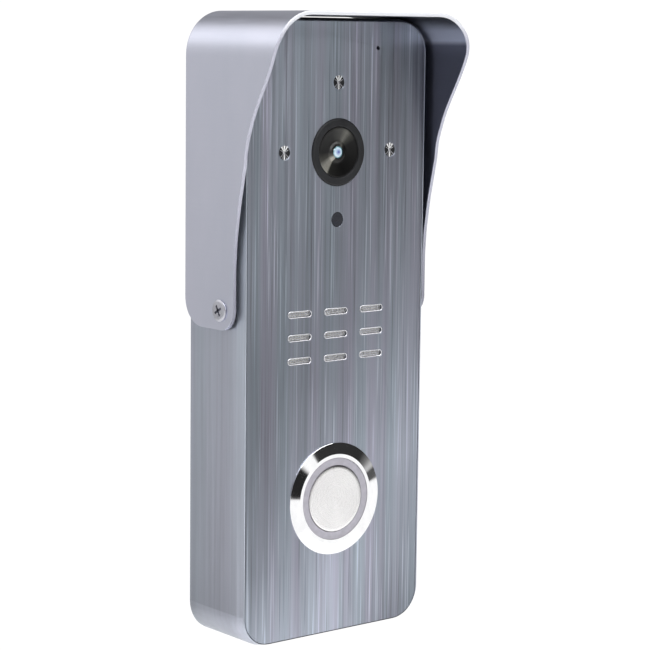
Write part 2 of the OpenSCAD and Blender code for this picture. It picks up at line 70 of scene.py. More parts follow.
class Mat:
    """A node material with one Principled shader and short helpers for its nodes."""

    def __init__(self, name, base=(0.5, 0.5, 0.5), metallic=0.0, roughness=0.5, **sockets):
        self.material = bpy.data.materials.new(name)
        self.material.use_nodes = True
        self.tree = self.material.node_tree
        self.tree.nodes.clear()
        self.out = self.tree.nodes.new("ShaderNodeOutputMaterial")
        self.shader = self.tree.nodes.new("ShaderNodeBsdfPrincipled")
        self.tree.links.new(self.shader.outputs[0], self.out.inputs[0])
        self.set("Base Color", (*base, 1))
        self.set("Metallic", metallic)
        self.set("Roughness", roughness)
        for key, value in sockets.items():
            self.set(key.replace("_", " "), value)
        self.material.diffuse_color = (*base, 1)

    def set(self, socket, value):
        self.shader.inputs[socket].default_value = value

    def link(self, a, b):
        self.tree.links.new(a, b)

    def node(self, kind, **values):
        n = self.tree.nodes.new(kind)
        for key, value in values.items():
            setattr(n, key, value)
        return n

    def coords(self, scale=(1, 1, 1), shift=(0, 0, 0), turn=(0, 0, 0)):
        """Object coordinates in metres, moved, turned and scaled."""
        tex = self.node("ShaderNodeTexCoord")
        m = self.node("ShaderNodeMapping")
        m.inputs["Location"].default_value = shift
        m.inputs["Rotation"].default_value = turn
        m.inputs["Scale"].default_value = scale
        self.link(tex.outputs["Object"], m.inputs["Vector"])
        return m.outputs[0]

    def noise(self, vector, scale, detail=3.0, rough=0.5):
        n = self.node("ShaderNodeTexNoise")
        n.inputs["Scale"].default_value = scale
        n.inputs["Detail"].default_value = detail
        n.inputs["Roughness"].default_value = rough
        self.link(vector, n.inputs["Vector"])
        return n.outputs["Fac"]

    def radius(self, x, z):
        """Distance in metres from an axis along Y through x, z in millimetres."""
        v = self.coords(scale=(1, 0, 1), shift=(-x * MM, 0, -z * MM))
        n = self.node("ShaderNodeVectorMath", operation="LENGTH")
        self.link(v, n.inputs[0])
        return n.outputs["Value"]

    def rings(self, x, z, scale, detail=2.0):
        """Noise that changes with the distance from an axis only, as a lathe leaves it."""
        n = self.node("ShaderNodeTexNoise", noise_dimensions="1D")
        n.inputs["Scale"].default_value = scale
        n.inputs["Detail"].default_value = detail
        self.link(self.radius(x, z), n.inputs["W"])
        return n.outputs["Fac"]

    def place(self, axis):
        """One object coordinate in metres: 0 for X, 1 for Y, 2 for Z."""
        n = self.node("ShaderNodeSeparateXYZ")
        self.link(self.coords(), n.inputs[0])
        return n.outputs[axis]

    def voronoi(self, vector, scale, output="Distance"):
        n = self.node("ShaderNodeTexVoronoi")
        n.inputs["Scale"].default_value = scale
        self.link(vector, n.inputs["Vector"])
        return n.outputs[output]

    def ramp(self, fac, *stops):
        n = self.node("ShaderNodeValToRGB")
        e = n.color_ramp.elements
        while len(e) < len(stops):
            e.new(0.5)
        for i, (place, colour) in enumerate(stops):
            e[i].position = place
            e[i].color = (*colour, 1) if hasattr(colour, "__len__") else (colour,) * 3 + (1,)
        self.link(fac, n.inputs[0])
        return n.outputs[0]

    def span(self, fac, low, high, start=0.3, end=0.7):
        """fac between start and end, spread to low and high."""
        n = self.node("ShaderNodeMapRange")
        for i, value in enumerate((start, end, low, high)):
            n.inputs[i + 1].default_value = value
        self.link(fac, n.inputs[0])
        return n.outputs[0]

    def mix(self, a, b, fac=0.5, kind="MIX"):
        n = self.node("ShaderNodeMix", data_type="RGBA", blend_type=kind)
        if isinstance(fac, float):
            n.inputs[0].default_value = fac
        else:
            self.link(fac, n.inputs[0])
        for socket, value in ((n.inputs[6], a), (n.inputs[7], b)):
            if hasattr(value, "__len__"):
                socket.default_value = (*value, 1)
            else:
                self.link(value, socket)
        return n.outputs[2]

    def times(self, *colours):
        """The colours multiplied with one another."""
        out = colours[0]
        for colour in colours[1:]:
            out = self.mix(out, colour, 1.0, "MULTIPLY")
        return out

    def math(self, kind, a, b):
        n = self.node("ShaderNodeMath", operation=kind)
        for i, value in enumerate((a, b)):
            if isinstance(value, (int, float)):
                n.inputs[i].default_value = value
            else:
                self.link(value, n.inputs[i])
        return n.outputs[0]

    def bump(self, height, strength, depth, under=None):
        n = self.node("ShaderNodeBump")
        n.inputs["Strength"].default_value = strength
        n.inputs["Distance"].default_value = depth
        self.link(height, n.inputs["Height"])
        if under is not None:
            self.link(under, n.inputs["Normal"])
        self.link(n.outputs[0], self.shader.inputs["Normal"])
        return n.outputs[0]

    def colour(self, output):
        self.link(output, self.shader.inputs["Base Color"])

    def rough(self, output):
        self.link(output, self.shader.inputs["Roughness"])

    def grain_across(self, vector):
        """Highlights spread along this direction, across the brushing."""
        n = self.node("ShaderNodeCombineXYZ")
        for i in range(3):
            n.inputs[i].default_value = vector[i]
        self.link(n.outputs[0], self.shader.inputs["Tangent"])

    def turned(self):
        """Highlights spread as on a face turned about Y."""
        n = self.node("ShaderNodeTangent", direction_type="RADIAL", axis="Y")
        self.link(n.outputs[0], self.shader.inputs["Tangent"])


# Painted light and shade on the brushed steel: how light it is painted from the bottom of the plate (0) to
# its top (1), at its left, middle and right
PAINTED_LIGHT_LEFT = ((0.0, 0.92), (0.12, 0.6), (0.3, 0.52), (0.45, 0.53), (0.62, 0.7), (0.8, 0.82), (1.0, 1.1))
PAINTED_LIGHT_MIDDLE = ((0.0, 1.08), (0.1, 1.1), (0.3, 0.8), (0.42, 0.64), (0.64, 0.62), (0.86, 0.82), (1.0, 1.15))
PAINTED_LIGHT_RIGHT = ((0.0, 0.6), (0.12, 0.82), (0.28, 0.98), (0.45, 0.82), (0.62, 0.72), (0.86, 0.6), (1.0, 0.6))


def brushed_plate():
    """Steel brushed upright: long faint bands, short bright and dark scratches over them, and painted light
    and shade that makes it lighter and darker over its height and width.
    """
    m = Mat("brushed_plate", (0.45, 0.47, 0.5), 1.0, 0.4, Anisotropic=0.3)
    broad = m.noise(m.coords((1, 1, 0.008)), 380, 3, 0.6)
    fine = m.noise(m.coords((1, 1, 0.008), (0.3, 0, 0.7)), 1500, 2, 0.6)
    hair = m.noise(m.coords((1, 1, 0.01), (0.9, 0, 0.1)), 2900, 1, 0.5)
    tint = m.noise(m.coords((1, 1, 0.03), (0.5, 0, 0.4)), 330, 2, 0.6)
    bands = m.times(m.ramp(broad, (0.3, 0.84), (0.7, 1.0)),
                    m.ramp(fine, (0.3, 0.76), (0.5, 0.92), (0.7, 1.0)))
    lines = m.ramp(hair, (0.28, 0.66), (0.36, 0.94), (0.6, 0.94), (0.7, 1.4))
    grey = m.ramp(tint, (0.34, (0.485, 0.545, 0.625)), (0.5, (0.52, 0.56, 0.65)),
                  (0.66, (0.54, 0.545, 0.655)))
    # Painted light and shade: the three tables are blended by height and across the plate's width
    up = m.span(m.place(2), 0.0, 1.0, -0.061, 0.061)
    to_middle = m.span(m.place(0), 0.0, 1.0, -0.018, 0.0)
    to_right = m.span(m.place(0), 0.0, 1.0, 0.0, 0.015)
    left = m.mix(m.ramp(up, *PAINTED_LIGHT_LEFT), m.ramp(up, *PAINTED_LIGHT_MIDDLE), to_middle)
    along = m.mix(left, m.ramp(up, *PAINTED_LIGHT_RIGHT), to_right)
    m.colour(m.times(grey, bands, lines, along))
    m.rough(m.span(fine, 0.36, 0.48))
    m.grain_across((1, 0, 0))
    under = m.bump(fine, 0.35, 0.00003)
    m.bump(hair, 0.25, 0.00001, under)
    return m


def cast_metal():
    """The housing: upright grain, painted shade that darkens it towards the foot, and a painted highlight
    that lightens a band round the front edge.
    """
    m = Mat("cast_metal", (0.56, 0.58, 0.61), 1.0, 0.4, Anisotropic=0.35)
    broad = m.noise(m.coords((1, 1, 0.03)), 320, 3, 0.5)
    fine = m.noise(m.coords((1, 1, 0.015), (0.2, 0.6, 0.1)), 1500, 3, 0.6)
    grain = m.noise(m.coords(), 9000, 2, 0.6)
    tint = m.ramp(broad, (0.3, (0.5, 0.55, 0.62)), (0.7, (0.56, 0.575, 0.665)))
    # Painted shade darker towards the foot, and a painted highlight lighter along the front edge
    foot = m.ramp(m.span(m.place(2), 0.0, 1.0, -0.062, -0.02), (0.0, 0.74), (0.4, 0.9), (1.0, 1.0))
    painted_front_highlight = m.ramp(m.span(m.place(1), 0.0, 1.0, -0.0158, -0.0125), (0.0, 1.22), (1.0, 1.0))
    m.colour(m.times(m.times(tint, m.ramp(fine, (0.3, 0.86), (0.7, 1.0))), m.times(foot, painted_front_highlight)))
    m.rough(m.span(fine, 0.34, 0.46))
    under = m.bump(fine, 0.25, 0.00002)
    m.bump(grain, 0.15, 0.00001, under)
    return m


def hood_sheet():
    """Satin sheet with painted light: the cut edges are painted darker low down and bright at the top, and
    the side that faces the station is painted dark as shade, with a painted highlight band in the bends.
    """
    m = Mat("hood_sheet", (0.66, 0.67, 0.76), 1.0, 0.36)
    cloud = m.noise(m.coords((1, 1, 0.4)), 120, 3, 0.5)
    grain = m.noise(m.coords(), 7000, 2, 0.6)
    scratch = m.noise(m.coords((1, 0.04, 1), (0.1, 0.2, 0.3), (0.5, 0, 0.2)), 2600, 2, 0.5)
    satin = m.ramp(cloud, (0.3, (0.64, 0.658, 0.758)), (0.7, (0.675, 0.685, 0.788)))
    # Painted shade: faces that look towards the station are masked and painted dark
    tex = m.node("ShaderNodeTexCoord")
    away = m.node("ShaderNodeVectorMath", operation="DOT_PRODUCT")
    m.link(m.coords((1, 0, 1), (0, 0, -0.03)), away.inputs[0])
    m.link(tex.outputs["Normal"], away.inputs[1])
    painted_shade_mask = m.span(away.outputs["Value"], 1.0, 0.0, -0.012, -0.006)
    facing = m.node("ShaderNodeSeparateXYZ")
    m.link(tex.outputs["Normal"], facing.inputs[0])
    edge = m.span(facing.outputs["Y"], 1.0, 0.0, -0.8, -0.4)
    up = m.span(m.place(2), 0.0, 1.0, 0.0, 0.064)
    # Painted light on the cut edges: darker low down, bright near the top
    painted_edge_light = m.ramp(up, (0.1, (0.34, 0.345, 0.4)), (0.42, (0.54, 0.545, 0.62)), (0.89, (0.56, 0.565, 0.64)),
                  (0.95, (0.76, 0.77, 0.8)))
    # Painted shade inside the hood, with a painted highlight band in the bends
    painted_inner_light = m.ramp(up, (0.3, (0.13, 0.135, 0.17)), (0.6, (0.16, 0.165, 0.21)),
                    (0.88, (0.18, 0.185, 0.235)), (0.895, (0.56, 0.58, 0.68)), (0.925, (0.5, 0.52, 0.61)),
                    (0.96, (0.07, 0.073, 0.09)))
    inner_shaded_satin = m.mix(satin, painted_inner_light, painted_shade_mask)
    m.colour(m.mix(inner_shaded_satin, painted_edge_light, edge))
    satin_rough = m.math("ADD", m.span(grain, 0.33, 0.41), m.span(scratch, -0.03, 0.03))
    m.rough(m.math("ADD", satin_rough, m.math("MULTIPLY", edge, 0.35)))
    m.bump(grain, 0.12, 0.00001)
    return m


def plain_metal(name, base, roughness, grain=6000):
    """Machined or rolled metal with a fine grain and faint wear."""
    m = Mat(name, base, 1.0, roughness)
    wear = m.noise(m.coords(), 700, 4, 0.6)
    fine = m.noise(m.coords((1, 1, 0.3)), grain, 2, 0.6)
    dark = tuple(c * (1 - 0.12) for c in base)
    m.colour(m.ramp(wear, (0.3, dark), (0.7, base)))
    m.rough(m.span(fine, roughness * 0.75, roughness * 1.25))
    m.bump(fine, 0.3, 0.00001)
    return m


def moulded(name, base, roughness, grain=5200, depth=0.00002):
    """Moulded plastic or rubber with a fine sparked texture."""
    m = Mat(name, base, 0.0, roughness)
    cells = m.voronoi(m.coords(), grain)
    cloud = m.noise(m.coords(), 300, 3, 0.6)
    low = tuple(c * (1 - 0.2) for c in base)
    high = tuple(min(1, c * (1 + 0.2)) for c in base)
    m.colour(m.ramp(cloud, (0.3, low), (0.7, high)))
    m.rough(m.span(cloud, roughness - 0.06, roughness + 0.06))
    m.bump(cells, 0.3, depth)
    return m


def lens_rim():
    """Black paint with little shine."""
    m = moulded("bezel_black", (0.011, 0.0115, 0.013), 0.5, 7000, 0.00001)
    m.set("Specular IOR Level", 0.28)
    return m


def black_turned():
    """The turned dish, with painted highlights: a lighter wedge at the lower left and a faint one at the
    upper right.
    """
    m = Mat("black_turned", (0.04, 0.04, 0.038), 0.6, 0.36, Anisotropic=0.4)
    cut = m.rings(0, LENS_Z, 9000)
    finish = m.ramp(cut, (0.3, 0.75), (0.7, 1.0))
    turn = m.math("ARCTAN2", m.math("SUBTRACT", m.place(2), LENS_Z * MM), m.place(0))
    around = m.span(turn, 0.0, 1.0, -math.pi, math.pi)
    # Painted highlight: lighter wedges by the angle about the lens axis
    wedge = m.ramp(around, (0.0, 0.02), (0.06, (0.08, 0.078, 0.07)), (0.1, (0.32, 0.312, 0.28)),
                   (0.145, (0.34, 0.33, 0.29)), (0.16, (0.02, 0.02, 0.018)), (0.3, 0.004), (0.58, 0.006),
                   (0.63, (0.04, 0.04, 0.035)), (0.67, (0.13, 0.128, 0.115)), (0.72, (0.05, 0.05, 0.047)),
                   (0.82, 0.018), (1.0, 0.02))
    m.colour(m.times(wedge, finish))
    m.rough(m.span(cut, 0.3, 0.42))
    m.turned()
    m.bump(cut, 0.25, 0.00001)
    return m


def chrome():
    """Polished plating with faint smears."""
    m = Mat("chrome_bezel", (0.9, 0.9, 0.91), 1.0, 0.04)
    smear = m.noise(m.coords((1, 1, 0.6)), 500, 4, 0.6)
    m.colour(m.ramp(smear, (0.3, (0.86, 0.86, 0.87)), (0.7, (0.93, 0.93, 0.94))))
    m.rough(m.span(smear, 0.025, 0.055))
    return m


def spun_cap():
    """Bright steel faced on a lathe."""
    m = Mat("cap_steel", (0.9, 0.89, 0.89), 1.0, 0.3, Anisotropic=0.7)
    cut = m.rings(0, BUTTON_Z, 7000, 3)
    m.colour(m.ramp(cut, (0.3, (0.82, 0.81, 0.81)), (0.7, (0.9, 0.89, 0.89))))
    m.rough(m.span(cut, 0.2, 0.3))
    m.turned()
    m.bump(cut, 0.2, 0.00001)
    return m


def lit_ring():
    """Milky plastic that lets a little light in."""
    m = Mat("lit_ring", (0.5, 0.48, 0.54), 0.0, 0.35, Transmission_Weight=0.15, IOR=1.49)
    cloud = m.noise(m.coords(), 900, 3, 0.5)
    m.colour(m.ramp(cloud, (0.3, (0.33, 0.32, 0.36)), (0.7, (0.4, 0.385, 0.435))))
    m.rough(m.span(cloud, 0.3, 0.42))
    m.bump(m.noise(m.coords(), 6000, 2, 0.5), 0.15, 0.00001)
    return m


def lens_glass():
    """Coated glass: a violet middle, a pale blue ring that is a painted reflection, and a dark rim."""
    m = Mat("lens_glass", (0.03, 0.035, 0.09), 0.0, 0.03, IOR=1.6, Coat_Weight=1.0, Coat_Roughness=0.02)
    across = m.radius(0, LENS_Z)
    # The pale blue ring is a painted reflection
    m.colour(m.ramp(m.math("MULTIPLY", across, 600.0), (0.06, (0.08, 0.1, 0.3)), (0.3, (0.32, 0.42, 0.58)),
                    (0.5, (0.5, 0.62, 0.7)), (0.66, (0.1, 0.28, 0.33)), (0.8, (0.05, 0.06, 0.07))))
    m.rough(m.span(m.noise(m.coords(), 900, 2), 0.02, 0.05))
    return m


def lamp_clear():
    """The bright ribs of a lamp, coloured near white as painted highlights."""
    m = Mat("lamp_clear", (0.9, 0.9, 0.92), 0.4, 0.3, Coat_Weight=0.3)
    cloud = m.noise(m.coords(), 2500, 3, 0.5)
    m.colour(m.ramp(cloud, (0.3, (0.88, 0.89, 0.9)), (0.7, (0.97, 0.97, 0.97))))
    m.rough(m.span(cloud, 0.24, 0.34))
    m.bump(cloud, 0.2, 0.00001)
    return m


def dark_window():
    """The nearly black window of the daylight sensor."""
    m = Mat("dark_window", (0.01, 0.012, 0.018), 0.0, 0.12, IOR=1.5, Specular_IOR_Level=0.35)
    cloud = m.noise(m.coords(), 800, 3, 0.5)
    m.colour(m.ramp(cloud, (0.3, (0.006, 0.007, 0.012)), (0.7, (0.01, 0.012, 0.018))))
    m.rough(m.span(cloud, 0.08, 0.18))
    return m


def zinc_steel():
    """Galvanised sheet with a quiet spangle."""
    m = Mat("zinc_steel", (0.6, 0.62, 0.64), 1.0, 0.42)
    spangle = m.voronoi(m.coords(), 210, output="Color")
    grey = m.ramp(spangle, (0.2, (0.55, 0.565, 0.58)), (0.8, (0.63, 0.64, 0.66)))
    fine = m.noise(m.coords((1, 1, 0.15)), 3200, 3, 0.6)
    m.colour(m.times(grey, m.ramp(fine, (0.3, 0.86), (0.7, 1.0))))
    m.rough(m.span(spangle, 0.34, 0.52, 0.2, 0.8))
    m.bump(fine, 0.2, 0.00001)
    return m


def circuit_board():
    """Green lacquer over a grid of tracks."""
    m = Mat("circuit_board", (0.02, 0.16, 0.07), 0.0, 0.35, Coat_Weight=0.3)
    tracks = m.node("ShaderNodeTexBrick")
    tracks.inputs["Scale"].default_value = 160
    tracks.inputs["Mortar Size"].default_value = 0.035
    m.link(m.coords(turn=(math.pi / 2, 0, 0)), tracks.inputs["Vector"])
    cloud = m.noise(m.coords(), 500, 3, 0.5)
    mask = m.ramp(cloud, (0.3, (0.012, 0.11, 0.05)), (0.7, (0.02, 0.16, 0.075)))
    m.colour(m.mix(mask, (0.05, 0.3, 0.13), tracks.outputs["Fac"]))
    m.bump(tracks.outputs["Fac"], 0.3, 0.00002)
    return m


MATERIALS = {
    "brushed_plate": brushed_plate,
    "cast_metal": cast_metal,
    "hood_sheet": hood_sheet,
    "screw_steel": lambda: plain_metal("screw_steel", (0.6, 0.605, 0.66), 0.36),
    "bezel_black": lens_rim,
    "black_turned": black_turned,
    "lens_glass": lens_glass,
    "lamp_clear": lamp_clear,
    "dark_window": dark_window,
    "sensor_ceramic": lambda: moulded("sensor_ceramic", (0.6, 0.5, 0.34), 0.5),
    "black_rubber": lambda: moulded("black_rubber", (0.02, 0.02, 0.021), 0.72, 4200),
    "black_plastic": lambda: moulded("black_plastic", (0.025, 0.026, 0.028), 0.45, 5600),
    "steel_mesh": lambda: plain_metal("steel_mesh", (0.93, 0.93, 0.96), 0.45, 5000),
    "speaker_metal": lambda: plain_metal("speaker_metal", (0.42, 0.42, 0.44), 0.45),
    "chrome_bezel": chrome,
    "cap_steel": spun_cap,
    "lit_ring": lit_ring,
    "brass": lambda: plain_metal("brass", (0.78, 0.62, 0.32), 0.3),
    "spring_steel": lambda: plain_metal("spring_steel", (0.5, 0.5, 0.53), 0.3),
    "circuit_board": circuit_board,
    "chip_plastic": lambda: moulded("chip_plastic", (0.02, 0.02, 0.022), 0.6),
    "capacitor_sleeve": lambda: moulded("capacitor_sleeve", (0.03, 0.04, 0.12), 0.35),
    "white_nylon": lambda: moulded("white_nylon", (0.75, 0.73, 0.66), 0.5),
    "zinc_steel": zinc_steel,
}
made = {}


def material(slot):
    """The one material of a slot of the record."""
    if slot not in made:
        made[slot] = MATERIALS[slot]().material
    return made[slot]


# ---- shapes ----

def piece(name, mesh, slot, body, *nodes):
    """A finished piece: it shows the slot's material, rides on a body and may stand for CAD nodes."""
    obj = bpy.data.objects.new(name, mesh)
    bpy.context.scene.collection.objects.link(obj)
    mesh.materials.clear()
    mesh.materials.append(material(slot))
    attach(obj, body)
    if nodes:
        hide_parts(*nodes)
    return obj


def smooth(mesh, angle=32):
    """Smooth shading, with edges above the angle in degrees kept sharp."""
    mesh.shade_smooth()
    mesh.set_sharp_from_angle(angle=math.radians(angle))
    return mesh


def finish_mesh(bm, name, angle=32):
    """Turns bm into a smooth shaded mesh, with its faces outwards, and frees it."""
    bmesh.ops.recalc_face_normals(bm, faces=bm.faces)
    mesh = bpy.data.meshes.new(name)
    bm.to_mesh(mesh)
    bm.free()
    return smooth(mesh, angle)


def rounded_profile(points, radius, steps=4):
    """Profile points (r, y) with each corner that turns enough cut to an arc of about radius."""
    out = []
    count = len(points)
    for i in range(count):
        p, a, b = Vector(points[i]), Vector(points[i - 1]), Vector(points[(i + 1) % count])
        va, vb = a - p, b - p
        if va.length < 1e-6 or vb.length < 1e-6 or p.x < 1e-6:
            out.append(tuple(p))
            continue
        turn = va.angle(vb, math.pi)
        if turn > math.radians(165):
            out.append(tuple(p))
            continue
        back = min(radius / math.tan(turn / 2), va.length * 0.45, vb.length * 0.45)
        start, end = p + va.normalized() * back, p + vb.normalized() * back
        for k in range(steps + 1):
            t = k / steps
            out.append(tuple(start.lerp(p, t).lerp(p.lerp(end, t), t)))
    return out


def turned_into(bm, profile, x, z, steps=128):
    """A closed profile (r, y) in mm turned about the axis along Y through x, z."""
    rows = []
    for r, y in profile:
        if r < 1e-6:
            rows.append([bm.verts.new((x * MM, y * MM, z * MM))])
            continue
        ring = []
        for k in range(steps):
            a = 2 * math.pi * k / steps
            ring.append(bm.verts.new(((x + r * math.cos(a)) * MM, y * MM, (z + r * math.sin(a)) * MM)))
        rows.append(ring)
    count = len(rows)
    for i in range(count):
        a, b = rows[i], rows[(i + 1) % count]
        if len(a) == 1 and len(b) == 1:
            continue
        for k in range(steps):
            n = (k + 1) % steps
            if len(a) == 1:
                bm.faces.new((a[0], b[k], b[n]))
            elif len(b) == 1:
                bm.faces.new((a[k], b[0], a[n]))
            else:
                bm.faces.new((a[k], b[k], b[n], a[n]))


def turned(name, profile, x, z, slot, body, *nodes, steps=128, radius=0.0, angle=32):
    """A piece turned about Y through x, z. radius rounds the corners of its profile."""
    bm = bmesh.new()
    turned_into(bm, rounded_profile(profile, radius) if radius else profile, x, z, steps)
    return piece(name, finish_mesh(bm, name, angle), slot, body, *nodes)


def box_into(bm, centre, size, turn=Matrix.Identity(4)):
    """A box in mm, turned about its own centre."""
    scale = Matrix.Diagonal((*[s * MM for s in size], 1))
    place = Matrix.Translation([c * MM for c in centre])
    bmesh.ops.create_cube(bm, size=1, matrix=place @ turn @ scale)


def cut(obj, cutter_bm):
    """Takes the cutter's solids out of obj's mesh."""
    mesh = bpy.data.meshes.new("cutter")
    bmesh.ops.recalc_face_normals(cutter_bm, faces=cutter_bm.faces)
    cutter_bm.to_mesh(mesh)
    cutter_bm.free()
    cutter = bpy.data.objects.new("cutter", mesh)
    bpy.context.scene.collection.objects.link(cutter)
    change = obj.modifiers.new("cut", "BOOLEAN")
    change.operation = "DIFFERENCE"
    change.solver = "EXACT"
    change.object = cutter
    bpy.context.view_layer.update()
    graph = bpy.context.evaluated_depsgraph_get()
    result = bpy.data.meshes.new_from_object(obj.evaluated_get(graph))
    obj.modifiers.clear()
    old = obj.data
    obj.data = result
    result.name = old.name + "_cut"
    bpy.data.meshes.remove(old)
    bpy.data.objects.remove(cutter)
    bpy.data.meshes.remove(mesh)
    smooth(obj.data)


# ---- pieces ----

def lens():
    """The black ring, the turned dish in it and the front glass."""
    turned("lens_ring", [(4.9, FRONT + 0.1), (5.1, FRONT - 0.3), (6.35, FRONT - 0.3), (6.6, FRONT - 0.05),
                         (6.6, PLATE_BACK), (8, PLATE_BACK), (8, -14.8), (4.9, -14.8)],
           0, LENS_Z, "bezel_black", "station", "lens_bezel", radius=0.12)
    dish = [(1.2, FRONT + 0.5), (1.2, FRONT + 0.02), (1.26, FRONT - 0.05), (1.5, FRONT - 0.04),
            (1.8, FRONT + 0.12), (2.05, FRONT + 0.3)]
    steps = 8
    for i in range(steps + 1):
        t = i / steps
        dish.append((2.1 + 2.72 * t, FRONT + 0.32 - 0.4 * t ** 1.3))
    dish += [(4.88, FRONT - 0.06), (4.88, FRONT + 2.6), (1.6, FRONT + 2.6), (1.6, FRONT + 0.9),
             (1.3, FRONT + 0.7)]
    turned("lens_dish", dish, 0, LENS_Z, "black_turned", "station", "lens_baffle", angle=40)
    dome, rings, ball = [], 10, 2.4
    for i in range(rings + 1):
        a = math.radians(90 - 41 * i / rings)
        dome.append((ball * math.cos(a), FRONT - 0.13 + ball - ball * math.sin(a)))
    dome += [(1.57, FRONT + 2.6), (0, FRONT + 2.6)]
    turned("front_lens", dome, 0, LENS_Z, "lens_glass", "station", "lens_glass", angle=40)


# Angle, half width in degrees, and the radii in mm where a rib starts and ends. The bright ribs are painted
# highlights, the dim ribs the same ribs in painted shade.
BRIGHT_RIBS = ((90, 8, 0.3, 1.5), (60, 7, 0.32, 1.5), (120, 7, 0.32, 1.5), (270, 7, 0.3, 1.52))
DIM_RIBS = ((247, 4, 0.4, 1.3), (293, 4, 0.4, 1.3), (222, 5, 0.4, 1.3), (318, 5, 0.4, 1.3),
            (150, 2.5, 0.4, 1.1), (30, 2.5, 0.4, 1.1))


def lamps():
    """Each lamp is a dark cup with ribs that spread from its middle: the bright ribs are painted highlights
    and the dim ribs painted shade.
    """
    body = bmesh.new()
    bright = bmesh.new()
    dim = bmesh.new()
    rims = bmesh.new()
    for x, z in LAMPS:
        cup = [(0, FRONT + 0.2), (1.25, FRONT + 0.16), (1.33, FRONT + 0.06), (1.34, FRONT + 0.5),
               (1.34, FRONT + 0.9), (1.5, FRONT + 0.9), (1.5, -13.9), (1.74, -13.9), (1.74, -12.92),
               (0, -12.92)]
        turned_into(body, cup, x, z, 64)
        turned_into(rims, [(1.35, FRONT + 0.04), (1.4, FRONT), (1.5, FRONT + 0.005), (1.54, FRONT + 0.06),
                           (1.54, FRONT + 0.8), (1.35, FRONT + 0.8)], x, z, 64)
        for leg in (-0.9, 0.9):
            box_into(body, (x + leg, -12.0, z), (0.42, 1.9, 0.42))
        # The bright ribs are painted highlights, the dim ribs painted shade
        for angle, half, start, end in BRIGHT_RIBS:
            rib(bright, x, z, math.radians(angle), math.radians(half), start, end)
        for angle, half, start, end in DIM_RIBS:
            rib(dim, x, z, math.radians(angle), math.radians(half), start, end)
        core = [(0, FRONT + 0.02), (0.2, FRONT + 0.04), (0.34, FRONT + 0.12), (0.36, FRONT + 0.3),
                (0, FRONT + 0.32)]
        turned_into(dim, core, x, z, 24)
    piece("lamp_cups", finish_mesh(body, "lamp_cups"), "bezel_black", "station", "ir_leds")
    piece("lamp_ribs", finish_mesh(bright, "lamp_ribs"), "lamp_clear", "station")
    piece("lamp_core", finish_mesh(dim, "lamp_core"), "speaker_metal", "station")
    piece("lamp_rims", finish_mesh(rims, "lamp_rims"), "brushed_plate", "station")


def rib(bm, x, z, angle, half, inner, outer):
    """One wedge-shaped rib that stands on the lamp's cup."""
    rows = []
    for r in (inner, (inner + outer) / 2, outer):
        floor = FRONT + (0.3 if r < 1.2 else 0.16)
        top = FRONT + 0.04
        w = max(0.05, r * math.sin(half))
        row = []
        for side, y in ((-1, floor), (-1, top), (0, top - 0.02), (1, top), (1, floor)):
            px = r * math.cos(angle) - side * w * math.sin(angle)
            pz = r * math.sin(angle) + side * w * math.cos(angle)
            row.append(bm.verts.new(((x + px) * MM, y * MM, (z + pz) * MM)))
        rows.append(row)
    for a, b in zip(rows, rows[1:]):
        for k in range(5):
            n = (k + 1) % 5
            bm.faces.new((a[k], a[n], b[n], b[k]))
    bm.faces.new(rows[0])
    bm.faces.new(list(reversed(rows[-1])))


def speaker_cloth():
    """Plain woven steel wire behind the slots."""
    pitch, wire, wave = 0.42, 0.085, 0.075
    half_w, half_h = 12.4, 6.65
    y0 = FRONT + 0.76
    bm = bmesh.new()
    cols, rows = int(half_w / pitch), int(half_h / pitch)
    for i in range(-cols, cols + 1):
        tube(bm, [(i * pitch, y0 - wave * math.cos(math.pi * k / 3) * (-1) ** i, SLOT_Z + k * pitch / 3)
                  for k in range(-3 * rows, 3 * rows + 1)], wire, (1, 0, 0))
    for j in range(-rows, rows + 1):
        tube(bm, [(k * pitch / 3, y0 + wave * math.cos(math.pi * k / 3) * (-1) ** j, SLOT_Z + j * pitch)
                  for k in range(-3 * cols, 3 * cols + 1)], wire, (0, 0, 1))
    for side in (1, -1):
        box_into(bm, (0, y0, SLOT_Z + side * half_h), (25, 0.22, 0.2))
    for side in (1, -1):
        box_into(bm, (side * half_w, y0, SLOT_Z), (0.2, 0.22, 13.5))
    piece("speaker_weave", finish_mesh(bm, "speaker_weave", 60), "steel_mesh", "station", "speaker_mesh")


def reach(z):
    """How far the hood's edge stands in front of the plate at height z."""
    lean = ((14, -1.3), (19, -0.95), (25.5, 0.05), (33.5, 1.84), (40, 2.55))
    full_reach = 11.5
    rise = min(1, max(0, (z - 35.5) / 24))
    out = lean[0][1] if z <= lean[0][0] else lean[-1][1]
    for (za, a), (zb, b) in zip(lean, lean[1:]):
        if za < z <= zb:
            out = a + (b - a) * (z - za) / (zb - za)
    return out + (full_reach - lean[-1][1]) * (1 - math.cos(math.pi * rise)) / 2


